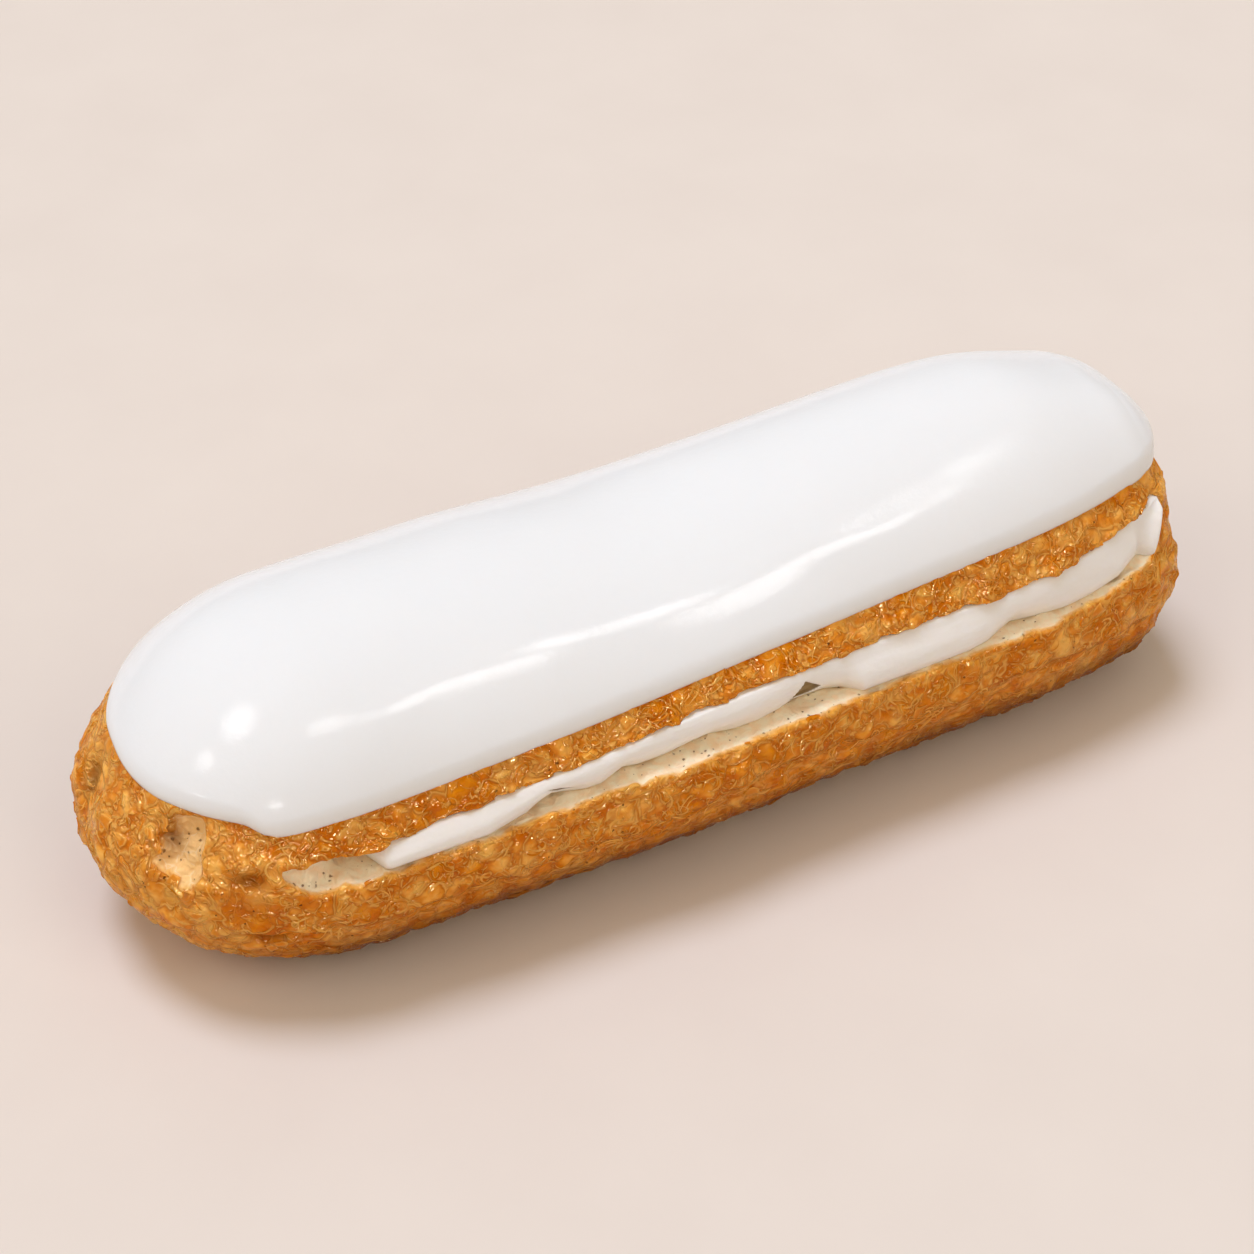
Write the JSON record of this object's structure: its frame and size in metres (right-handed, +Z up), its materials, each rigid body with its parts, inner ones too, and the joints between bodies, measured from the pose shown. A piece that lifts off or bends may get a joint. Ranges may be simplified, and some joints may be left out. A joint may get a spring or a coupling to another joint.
{
  "type": "vanilla eclair",
  "caption": "Long choux bun slit along its sides, filled with white cream and capped with smooth white icing.",
  "frame": {"origin": "under the middle of the eclair, on the plane that its flat underside rests on", "axes": "+X along the eclair towards its taller, narrower end; +Z up; the side that shows most in the picture faces -Y"},
  "size_m": [0.1347, 0.0496, 0.039],
  "materials": {
    "choux": "browned choux crust, amber to tan, satin, with fine ridges and pores; pale crumb where it is cut or torn",
    "cream": "soft white cream, smooth, slightly translucent, satin",
    "icing": "smooth glossy white icing, slightly translucent"
  },
  "bodies": {
    "root": {"choux": "choux", "cream": "cream", "icing": "icing"}
  },
  "joints": []
}
